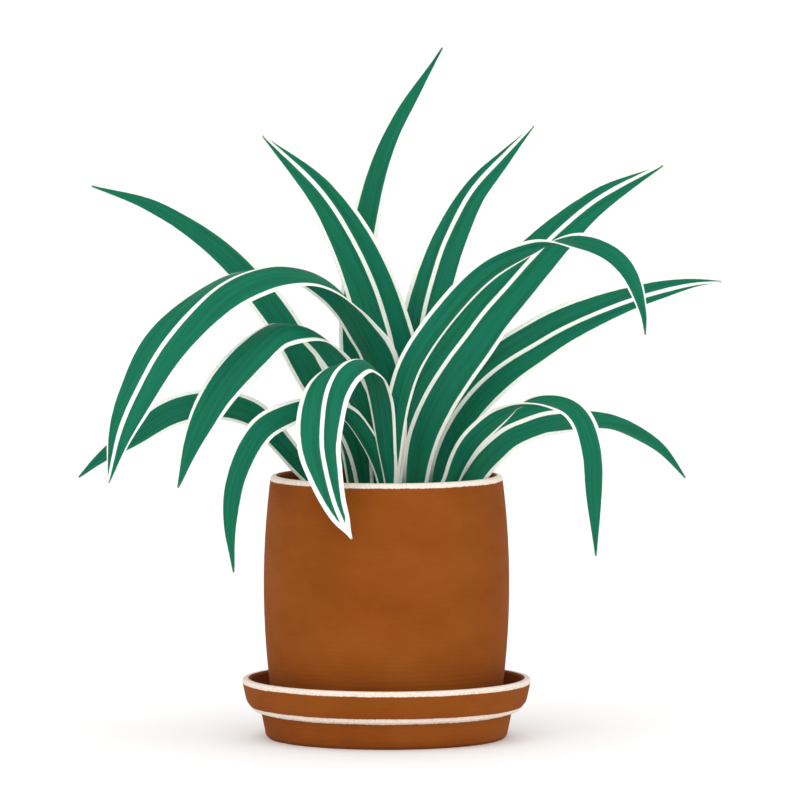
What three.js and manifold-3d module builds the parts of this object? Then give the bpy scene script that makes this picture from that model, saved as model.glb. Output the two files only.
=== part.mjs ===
// A potted spider plant: an arching rosette of strap leaves in a barrel-shaped clay pot, which stands on a
// two-tier clay saucer.
//
// Millimetres, +Z up. The origin is the centre of the saucer's flat underside. -Y is the front of the plant,
// +X its right-hand side as seen from the front.

import * as THREE from 'three';
import * as BufferGeometryUtils from 'three/addons/utils/BufferGeometryUtils.js';
import Module from 'manifold-3d';

// Driving dimensions of the saucer
const SAUCER_HEIGHT = 31.8;
const SAUCER_RIM_RADIUS = 76.8;
const SAUCER_FOOT_RADIUS = 63.6;
const SAUCER_TIER_RADIUS = 66.5;
const SAUCER_TIER_HEIGHT = 14;
const SAUCER_FLOOR = 6;
const SAUCER_WALL = 5;

// Driving dimensions of the pot
const POT_HEIGHT = 133.3;
const POT_WAIST_RADIUS = 65.2;
const POT_WAIST_HEIGHT = 75.1;
const POT_BULGE = 3.2;
const POT_BULGE_REACH = 53;
const POT_WALL = 5;
const POT_FLOOR = 7;
const DRAIN_RADIUS = 9;

// Driving dimensions of the soil
const SOIL_BELOW_RIM = 15.6;
const SOIL_CROWN = 1.6;
const BURIED = 13;

// Driving dimensions that the leaves share
const LEAF_THICKNESS_FOOT = 1.9;
const LEAF_THICKNESS = 1.1;
const LEAF_THICKNESS_TIP = 0.75;
const LEAF_TIP_WIDTH = 0.9;
const LEAF_TIP_FULLNESS = 0.88;
const LEAF_SWELL = 90;
const GUTTER = 0.34;
const STATION_STEP = 7.5;

// Clear room between neighbouring pieces
const GAP = 0.3;
const SOIL_GAP = 0.45;
const SLOT_CLEARANCE = 0.5;

const POT_BASE = SAUCER_FLOOR + GAP;
const SOIL_TOP = POT_BASE + POT_HEIGHT - SOIL_BELOW_RIM;
const ROOT = SOIL_TOP - BURIED;
const AROUND = 48;

const CLAY = new THREE.MeshStandardMaterial({ color: 0x954e17, roughness: 0.85, metalness: 0 });
const SOIL = new THREE.MeshStandardMaterial({ color: 0x33251b, roughness: 1, metalness: 0 });
const LEAF = new THREE.MeshStandardMaterial({ color: 0x007151, roughness: 0.5, metalness: 0 });

// The leaves. A path point is [x, y, z, turn]: the midrib's place, and how far the blade's upper face has
// turned about the midrib, in degrees, from facing the viewer (0) over facing up (90) to facing away (180).
// The viewer looks along +Y, or along `seen` where a leaf gives it. `taper` is the length over which the
// blade narrows to its point, `fullness` the power that shapes that point, slimmer above 1, and `foot` the
// width in the soil as a share of the full width. `hollow` is the depth of the blade's gutter at even steps
// along the path, as a share of its half width: below 0 the blade is a ridge, as it is where it folds over.
const LEAVES = [
  {
    name: 'leaf_top', width: 12.5, taper: 125, foot: 0.75,
    path: [
      [-4, 22, ROOT, 25], [-5, 22, 134, 25], [-13, 29, 172, 20], [-17.5, 37, 215, 15],
      [-11, 47, 273, 10], [1.5, 54, 315.5, 5], [30, 60, 365, 0],
    ],
  },
  {
    name: 'leaf_upper_left', width: 26, taper: 126, foot: 0.42,
    path: [
      [8, 11, ROOT, 10], [8, 11, 135, 10], [6, 14, 168, 10], [3, 15, 200, 10], [-3, 14, 221, 10],
      [-10.2, 12, 242.6, 10], [-19.7, 9, 264, 10], [-35.8, 5, 289.8, 8], [-65.5, -1, 319.5, 5],
    ],
  },
  {
    name: 'leaf_far_left', width: 14, taper: 130, foot: 0.7,
    path: [
      [-10, 13, ROOT, 15], [-12, 13, 134, 15], [-15, 13, 152, 15], [-22, 15, 168, 15],
      [-37, 17, 186, 12], [-56, 22, 219.5, 10], [-79, 28, 247.8, 10], [-99, 33, 265, 10],
      [-126.5, 40, 281, 10], [-158, 48, 291, 10],
    ],
  },
  {
    name: 'leaf_left_arch', width: 23.5, taper: 88, foot: 0.38,
    hollow: [0.34, 0.3, 0.2, 0, -0.5, -0.65, -0.6, -0.45, -0.15, 0.05, 0.1],
    path: [
      [3, -6.5, ROOT, 168], [3, -6.5, 136, 168], [1, -8, 170, 150], [-5.2, -10.5, 203, 135],
      [-12.5, -14, 216.4, 128], [-20, -18.5, 228.6, 120], [-28, -23, 238.3, 112], [-40, -29, 246, 98],
      [-54, -35, 249.3, 77], [-66, -40, 248, 62], [-81, -46, 242.5, 47], [-97, -54, 231, 33],
      [-117, -63, 210.3, 15], [-129, -68.5, 189, 8], [-138, -72, 168, 5], [-144.5, -75, 141, 5],
    ],
  },
  {
    name: 'leaf_left_droop', width: 17, taper: 80, foot: 0.48,
    hollow: [0.34, 0.34, 0.2, 0, -0.55, -0.7, -0.35, 0, 0.1],
    path: [
      [0, -12, ROOT, 165], [0, -12, 136, 165], [-4, -13, 154, 155], [-11, -14, 172, 145],
      [-17, -16, 186, 138], [-27, -21, 203, 131], [-35.5, -25, 213, 116], [-45, -29, 217.9, 84],
      [-56, -33.5, 218.3, 48], [-71, -41, 206, 20], [-88, -47, 186, 10], [-100.6, -52, 162, 5],
      [-109, -56, 137, 5],
    ],
  },
  {
    name: 'leaf_front', width: 21.5, taper: 75, fullness: 1.15, foot: 0.3,
    hollow: [0.34, 0.3, 0, -0.45, -0.45, -0.1, 0.15, 0.2, 0.2],
    path: [
      [2, -28.4, ROOT, 150], [2, -28.4, 137, 150], [0, -31, 155, 140], [-3, -35, 182, 128],
      [-7.2, -42, 196.6, 117], [-14, -49, 202, 93], [-23, -57, 199.5, 56], [-30.5, -64, 189.5, 27],
      [-34, -69, 176.5, 10], [-35, -73, 160, 0], [-32.2, -75, 147, 0], [-26.8, -78, 130, 0],
      [-17.8, -80, 112, 0],
    ],
  },
  {
    name: 'leaf_low_left', width: 11.4, taper: 72, foot: 0.68,
    path: [
      [-1, -22, ROOT, 165], [-1, -22, 137, 165], [-6, -23, 153, 155], [-16, -25, 169, 142],
      [-21, -27, 174, 130], [-34, -31, 180, 90], [-46, -36, 176, 40], [-65, -46, 167, 15],
      [-77.8, -54, 144, 8], [-81.6, -58, 120, 5], [-79.8, -62, 93, 5],
    ],
  },
  {
    name: 'leaf_side_left', width: 15, taper: 75, foot: 0.6,
    path: [
      [-22, 4, ROOT, 35], [-25, 4, 122, 38], [-39, 3, 136, 40], [-49, 0, 147.5, 40], [-58, -1, 158, 40],
      [-71, 2, 171, 34], [-91, 6, 176, 33], [-112, 9, 172.5, 28], [-134, 12, 159.5, 20],
      [-152, 14, 147.5, 12], [-164, 15, 137, 10],
    ],
  },
  {
    name: 'leaf_upper_right', width: 22, taper: 132, foot: 0.72,
    path: [
      [11, 19.5, ROOT, 15], [11, 19.5, 134, 15], [16, 23, 178, 15], [21, 28, 221, 15],
      [28, 32, 247, 12], [33, 36, 261, 10], [46.5, 43, 287, 10], [64, 51, 307, 8], [79, 58, 323, 5],
    ],
  },
  {
    name: 'leaf_high_right', width: 28.5, taper: 168, foot: 0.75,
    path: [
      [11, 3, ROOT, 0], [11, 3, 135, 0], [14, 4, 158, 0], [22, 6, 179, 0], [33, 10, 198, 0],
      [42.5, 16, 211, 0], [53, 24, 225, 0], [66, 32, 239, 0], [78, 39, 251.5, 0], [94, 48, 266.8, 5],
      [115.5, 60, 283.8, 8], [149, 76, 301, 8],
    ],
  },
  {
    name: 'leaf_right_arch', width: 12, taper: 75, foot: 0.5,
    path: [
      [3, -17, ROOT, 170], [3, -17, 136, 170], [4, -18, 159, 165], [7, -20, 181, 160],
      [13.4, -23, 200.4, 156], [31.3, -28, 226.6, 152], [54.4, -34, 250.4, 146], [78, -39, 262, 122],
      [87, -41, 264.5, 94], [99, -44, 264.5, 58], [110.5, -46, 262, 40], [120.3, -48, 256.5, 28],
      [127.8, -50, 247.3, 22], [134.2, -53, 228, 20], [135.3, -54, 217, 20],
    ],
  },
  {
    name: 'leaf_right', width: 22.5, taper: 156, foot: 0.62,
    path: [
      [23, 12, ROOT, 10], [24.5, 12, 134, 10], [30, 17, 152, 10], [39, 23, 170, 10],
      [50, 29, 184.5, 10], [62.8, 35, 196.3, 10], [78.8, 44, 206.6, 10], [95.8, 52, 216, 12],
      [130.8, 66, 229.5, 15], [165, 80, 237.2, 15], [181, 86, 237.8, 15],
    ],
  },
  {
    name: 'leaf_low_right', width: 11.2, taper: 65, foot: 0.8,
    path: [
      [27, -4, ROOT, 165], [29, -4, 126, 162], [34.5, -5, 137, 162], [38.5, -6, 147, 160],
      [45, -9, 158, 158], [54, -12, 167, 152], [61, -15, 172.5, 136], [68, -19, 177, 108],
      [77, -22, 179.7, 80], [87, -25, 179.7, 58], [96, -28, 177, 42], [102.5, -31, 170.5, 28],
      [107.7, -36, 154, 15], [108.9, -40, 129, 10], [110, -43, 100, 5],
    ],
  },
  {
    name: 'leaf_side_right', width: 20.6, taper: 122, foot: 0.68,
    path: [
      [33, 4, ROOT, 5], [36, 4, 125, 5], [43, 4, 135, 5], [50, 6, 146.5, 5], [57, 8, 154.5, 8],
      [64, 10, 160.9, 12], [74, 13, 166, 16], [84, 16, 168.8, 24], [93, 19, 168.2, 40],
      [103, 22, 166.5, 56], [121, 27, 164.5, 56], [141, 32, 155, 46], [148, 34, 149.5, 40],
      [160, 37, 135, 35],
    ],
  },
  {
    name: 'leaf_back_left', width: 14, taper: 80, foot: 0.6, seen: [1, 0.2, 0],
    path: [
      [-7, 29, ROOT, 90], [-8, 31, 135, 90], [-12, 42, 162, 90], [-17, 58, 172, 90], [-22, 78, 160, 90],
      [-27, 95, 128, 90], [-30, 104, 92, 90], [-31, 108, 60, 90],
    ],
  },
  {
    name: 'leaf_back', width: 17, taper: 95, foot: 0.5, seen: [1, -0.1, 0],
    path: [
      [5, 29, ROOT, 90], [6, 31, 138, 90], [8, 43, 168, 90], [11, 62, 184, 90], [14, 86, 176, 90],
      [17, 108, 148, 90], [19, 122, 108, 90], [19, 128, 70, 90],
    ],
  },
  {
    name: 'leaf_back_right', width: 14, taper: 85, foot: 0.6, seen: [1, -0.3, 0],
    path: [
      [17, 26, ROOT, 90], [19, 30, 135, 90], [25, 42, 160, 90], [31, 60, 169, 90], [37, 78, 160, 90],
      [42, 94, 132, 90], [45, 103, 94, 90],
    ],
  },
  {
    name: 'leaf_back_low', width: 12, taper: 75, foot: 0.65, seen: [1, 0.5, 0],
    path: [
      [-16, 22, ROOT, 90], [-18, 26, 135, 90], [-22, 39, 156, 90], [-30, 56, 163, 90],
      [-37, 74, 152, 90], [-43, 90, 122, 90], [-46, 98, 90, 90],
    ],
  },
];

// A solid turned about the vertical axis from its outline, listed from the bottom round the outside and back.
function turned(outline) {
  const points = outline.map(([radius, height]) => new THREE.Vector2(radius, height));
  return new THREE.LatheGeometry(points, AROUND).rotateX(Math.PI / 2);
}

// The saucer: a foot tier, a step, and a wide band that flares to the rim, dished inside to the same form.
function saucer() {
  const step = SAUCER_TIER_HEIGHT;
  const band = SAUCER_RIM_RADIUS - 4.3;
  return turned([
    [0, 0], [SAUCER_FOOT_RADIUS - 1.4, 0], [SAUCER_FOOT_RADIUS + 0.5, 1.4],
    [SAUCER_TIER_RADIUS, step - 0.6], [SAUCER_TIER_RADIUS + 0.4, step], [band - 1.6, step + 0.8],
    [band, step + 3.2], [SAUCER_RIM_RADIUS - 2.3, step + 5.3],
    [SAUCER_RIM_RADIUS, SAUCER_HEIGHT - 0.9], [SAUCER_RIM_RADIUS - 0.9, SAUCER_HEIGHT],
    [SAUCER_RIM_RADIUS - SAUCER_WALL + 0.9, SAUCER_HEIGHT],
    [SAUCER_RIM_RADIUS - SAUCER_WALL, SAUCER_HEIGHT - 0.9],
    [band - SAUCER_WALL, step + 3.2], [SAUCER_TIER_RADIUS - SAUCER_WALL + 0.3, step],
    [SAUCER_FOOT_RADIUS - 2.1, SAUCER_FLOOR], [0, SAUCER_FLOOR],
  ]);
}

// The pot's outer radius at a height above its own base, the same curve above and below its waist.
function potRadius(height) {
  return POT_WAIST_RADIUS - POT_BULGE * ((height - POT_WAIST_HEIGHT) / POT_BULGE_REACH) ** 2;
}

function potInnerRadius(height) {
  return potRadius(height) - POT_WALL;
}

const POT_LEVELS = [2, 20, 38, 56, 75, 94, 112, POT_HEIGHT - 1.2];

// The pot: a barrel with a rounded rim and a drainage hole through its floor.
function pot() {
  const outside = POT_LEVELS.map((height) => [potRadius(height), POT_BASE + height]);
  const inside = POT_LEVELS.filter((height) => height > POT_FLOOR).reverse()
    .map((height) => [potInnerRadius(height), POT_BASE + height]);
  const rim = POT_BASE + POT_HEIGHT;
  const outline = [
    [DRAIN_RADIUS, POT_BASE], [potRadius(0) - 1.6, POT_BASE], ...outside,
    [potRadius(POT_HEIGHT) - 1.2, rim], [potInnerRadius(POT_HEIGHT) + 1.2, rim], ...inside,
    [potInnerRadius(POT_FLOOR) - 2, POT_BASE + POT_FLOOR], [DRAIN_RADIUS, POT_BASE + POT_FLOOR],
    [DRAIN_RADIUS, POT_BASE],
  ];
  return turned(outline);
}

// The soil before its slots are cut: it fills the pot to a little under the rim, slightly crowned.
function soilBody() {
  const top = SOIL_TOP - POT_BASE;
  const levels = POT_LEVELS.filter((height) => height > POT_FLOOR + 2 && height < top - 4);
  const sides = [...levels, top - SOIL_CROWN]
    .map((height) => [potInnerRadius(height) - SOIL_GAP, POT_BASE + height]);
  const bottom = POT_BASE + POT_FLOOR + GAP;
  return turned([
    [0, bottom], [potInnerRadius(POT_FLOOR) - 2 - SOIL_GAP, bottom], ...sides,
    [potInnerRadius(top) * 0.6, SOIL_TOP - SOIL_CROWN * 0.4], [0, SOIL_TOP],
  ]);
}

// The value at a place between 0 and 1 along a list of numbers, joined by a smooth curve through them all.
function smoothValue(values, place) {
  const spot = place * (values.length - 1);
  const index = Math.min(Math.floor(spot), values.length - 2);
  const at = (i) => values[THREE.MathUtils.clamp(i, 0, values.length - 1)];
  const s = spot - index;
  const [a, b, c, d] = [at(index - 1), at(index), at(index + 1), at(index + 2)];
  return b + 0.5 * s * (c - a + s * (2 * a - 5 * b + 4 * c - d + s * (3 * (b - c) + d - a)));
}

// The blade's width at a length along the leaf: it swells from the foot, then tapers to a point.
function bladeWidth(leaf, along, length) {
  const swelling = THREE.MathUtils.smoothstep(along - BURIED, 0, LEAF_SWELL);
  const full = leaf.width * THREE.MathUtils.lerp(leaf.foot, 1, swelling);
  const toTip = THREE.MathUtils.clamp((length - along) / leaf.taper, 0, 1);
  const fullness = leaf.fullness ?? LEAF_TIP_FULLNESS;
  return LEAF_TIP_WIDTH + (full - LEAF_TIP_WIDTH) * Math.sin((Math.PI / 2) * toTip) ** fullness;
}

function bladeThickness(along, length) {
  const foot = THREE.MathUtils.smoothstep(along, BURIED, LEAF_SWELL);
  const tip = THREE.MathUtils.smoothstep(length - along, 0, LEAF_SWELL);
  const body = THREE.MathUtils.lerp(LEAF_THICKNESS_FOOT, LEAF_THICKNESS, foot);
  return THREE.MathUtils.lerp(LEAF_THICKNESS_TIP, body, tip);
}

// The frames along a leaf, evenly spaced: place, direction across the blade and the upper face's normal.
function stations(leaf) {
  const curve = new THREE.CatmullRomCurve3(leaf.path.map(([x, y, z]) => new THREE.Vector3(x, y, z)));
  const turns = leaf.path.map((point) => point[3]);
  const seen = new THREE.Vector3(...(leaf.seen ?? [0, 1, 0])).normalize();
  const rightHand = seen.clone().cross(new THREE.Vector3(0, 0, 1));
  const heading = Math.sign(curve.getPoint(1).sub(curve.getPoint(0)).dot(rightHand));
  const length = curve.getLength();
  const count = Math.round(length / STATION_STEP);
  return Array.from({ length: count + 1 }, (_, i) => {
    const place = curve.getUtoTmapping(i / count);
    const along = curve.getTangent(place);
    const turn = THREE.MathUtils.degToRad(smoothValue(turns, place));
    const up = along.clone().cross(seen).normalize().multiplyScalar(heading);
    const toViewer = seen.clone().negate().addScaledVector(along, seen.dot(along)).normalize();
    const normal = toViewer.multiplyScalar(Math.cos(turn)).addScaledVector(up, Math.sin(turn));
    return {
      centre: curve.getPoint(place), along, normal, across: along.clone().cross(normal),
      hollow: smoothValue(leaf.hollow ?? [GUTTER, GUTTER], place),
      width: bladeWidth(leaf, (length * i) / count, length),
      thickness: bladeThickness((length * i) / count, length),
    };
  });
}

// A blade through its stations: a strip that is hollowed along its upper side. Both faces are split into
// triangles alike. `grow` widens the section on all sides.
function blade(frames, grow = 0) {
  const positions = frames.flatMap(({ centre, normal, across, hollow, width, thickness }) => {
    const half = width / 2;
    const corner = (side, face) => centre.clone()
      .addScaledVector(across, side * (half + grow))
      .addScaledVector(normal, (Math.abs(side) - 0.4) * hollow * half + face * (thickness / 2 + grow));
    return [corner(-1, 1), corner(0, 1), corner(1, 1), corner(1, -1), corner(0, -1), corner(-1, -1)];
  });
  const faces = [[0, 5, 4], [0, 4, 1], [1, 4, 3], [1, 3, 2]];
  const last = (frames.length - 1) * 6;
  faces.push(...faces.map(([a, b, c]) => [a + last, c + last, b + last]));
  for (let i = 0; i < last; i += 6) {
    for (let k = 0; k < 6; k += 1) {
      const [a, b] = [i + k, i + ((k + 1) % 6)];
      if (k < 3) faces.push([a, b, b + 6], [a, b + 6, a + 6]);
      else faces.push([a, b, a + 6], [b, b + 6, a + 6]);
    }
  }
  const geometry = new THREE.BufferGeometry();
  const numbers = positions.flatMap((point) => point.toArray());
  geometry.setAttribute('position', new THREE.Float32BufferAttribute(numbers, 3));
  geometry.setIndex(faces.flat());
  return geometry;
}

// The plain slot that a leaf's foot stands in, reaching from just under the foot to above the soil.
function slot(leaf) {
  const frames = stations(leaf);
  const cleared = frames.findIndex(({ centre, width }) => centre.z - width / 2 > SOIL_TOP + 1);
  const { centre, along } = frames[0];
  const below = centre.clone().addScaledVector(along, -SLOT_CLEARANCE);
  return blade([{ ...frames[0], centre: below }, ...frames.slice(1, cleared + 1)], SLOT_CLEARANCE);
}

const wasm = await Module();
wasm.setup();

// A closed mesh as a solid that can be cut.
function solid(geometry) {
  const bare = geometry.clone();
  bare.deleteAttribute('normal');
  bare.deleteAttribute('uv');
  const merged = BufferGeometryUtils.mergeVertices(bare, 1e-4);
  return new wasm.Manifold(new wasm.Mesh({
    numProp: 3,
    vertProperties: new Float32Array(merged.attributes.position.array),
    triVerts: new Uint32Array(merged.index.array),
  }));
}

function geometryOf(cut) {
  const mesh = cut.getMesh();
  const geometry = new THREE.BufferGeometry();
  geometry.setAttribute('position', new THREE.Float32BufferAttribute(mesh.vertProperties, 3));
  geometry.setIndex(Array.from(mesh.triVerts));
  return geometry;
}

function soil() {
  return geometryOf(LEAVES.reduce((body, leaf) => body.subtract(solid(slot(leaf))), solid(soilBody())));
}

const plant = new THREE.Group();

function add(name, geometry, material) {
  const mesh = new THREE.Mesh(geometry, material);
  mesh.name = name;
  plant.add(mesh);
}

add('saucer', saucer(), CLAY);
add('pot', pot(), CLAY);
add('soil', soil(), SOIL);
for (const leaf of LEAVES) add(leaf.name, blade(stations(leaf)), LEAF);

export default plant;
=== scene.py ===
"""A potted spider plant, dressed on its CAD frame: strap leaves, a clay pot on its saucer, and loose soil."""

import math
import random

import bpy
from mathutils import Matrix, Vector, noise


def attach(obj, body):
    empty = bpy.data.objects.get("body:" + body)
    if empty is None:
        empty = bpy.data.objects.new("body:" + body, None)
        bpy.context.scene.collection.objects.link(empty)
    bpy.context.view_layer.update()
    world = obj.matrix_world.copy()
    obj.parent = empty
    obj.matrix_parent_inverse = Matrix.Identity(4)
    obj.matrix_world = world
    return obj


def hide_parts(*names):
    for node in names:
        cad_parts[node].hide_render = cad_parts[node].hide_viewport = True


bl_info = {
    "name": "Potted spider plant",
    "version": (1, 0, 0),
    "blender": (4, 5, 0),
    "location": "3D View > Sidebar > Spider plant",
    "description": "Models a spider plant with its clay pot, saucer and soil",
    "category": "Object",
}

MM = 0.001
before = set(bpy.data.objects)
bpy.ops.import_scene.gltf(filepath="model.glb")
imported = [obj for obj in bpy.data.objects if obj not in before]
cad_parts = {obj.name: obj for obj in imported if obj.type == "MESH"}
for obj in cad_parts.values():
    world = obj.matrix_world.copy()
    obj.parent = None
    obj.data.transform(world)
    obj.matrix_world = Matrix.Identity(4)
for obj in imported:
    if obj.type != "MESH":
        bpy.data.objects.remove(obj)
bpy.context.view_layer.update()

# The clay pieces' heights and radii in millimetres, as the solids have them. The pot's wall bulges as a
# parabola: its radius is greatest at BELLY_HEIGHT above the pot's base, and BELLY_FALL less BELLY_SPAN away.
SAUCER_HEIGHT = 31.8
SAUCER_STEP = 14.0
SAUCER_FLOOR = 6.0
POT_BASE = 6.3
POT_HEIGHT = 133.3
POT_TOP = POT_BASE + POT_HEIGHT
POT_WALL = 5
POT_FLOOR = 7
DRAIN_RADIUS = 9
BELLY_RADIUS = 65.2
BELLY_HEIGHT = 75.1
BELLY_SPAN = 53
BELLY_FALL = 3.2

# The soil, in millimetres: it stands SOIL_INSET inside the pot's outer face. Its surface lies SOIL_SINK under
# the solid's, and SOIL_FALL lower still at SOIL_RADIUS, by the wall.
SOIL_TOP = POT_TOP - 15.6
SOIL_INSET = 5.4
SOIL_RADIUS = 59
SOIL_SINK = 0.6
SOIL_FALL = 1.6
SOIL_RINGS = 34
SOIL_SIDES = 200

# The loose bits lie within STREWN_RADIUS and at least FOOT_ROOM from the middle of a leaf's foot.
STREWN_RADIUS = 57.0
FOOT_ROOM = 6

# The blades, in millimetres: how deep a foot is buried, over what length a blade swells and thins, its width
# at the tip, its thickness at the foot, in the middle and at the tip, and how far its edges wave, and over
# what length for each radian. TIP_FULLNESS is the usual power of the narrowing to the tip, GUTTER the usual
# depth of the gutter as a share of the half width, and COLUMNS the faces across a blade.
BURIED = 13
ROOT = SOIL_TOP - BURIED
SWELL = 90
TIP_WIDTH = 0.9
TIP_FULLNESS = 0.88
GUTTER = 0.34
THICKEST = 1.9
MIDDLE_THICKNESS = 1.1
TIP_THICKNESS = 0.75
WAVE_HEIGHT = 0.45
WAVE_LENGTH = 13
COLUMNS = 10

# Stretches of a blade in millimetres: from the foot, where its pale edge and its waves begin, and from the
# tip, where that edge ends and where a blunt tip is pale all over.
EDGE_BEGINS = (15, 50)
WAVES_BEGIN = (20, 60)
EDGE_ENDS = (2, 45)
ALL_PALE = (4, 14)

# A blade's UV maps hold millimetres divided by UV_SCALE. The way across has UV_MIDDLE added to it first.
UV_SCALE = 100
UV_MIDDLE = 50

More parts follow.
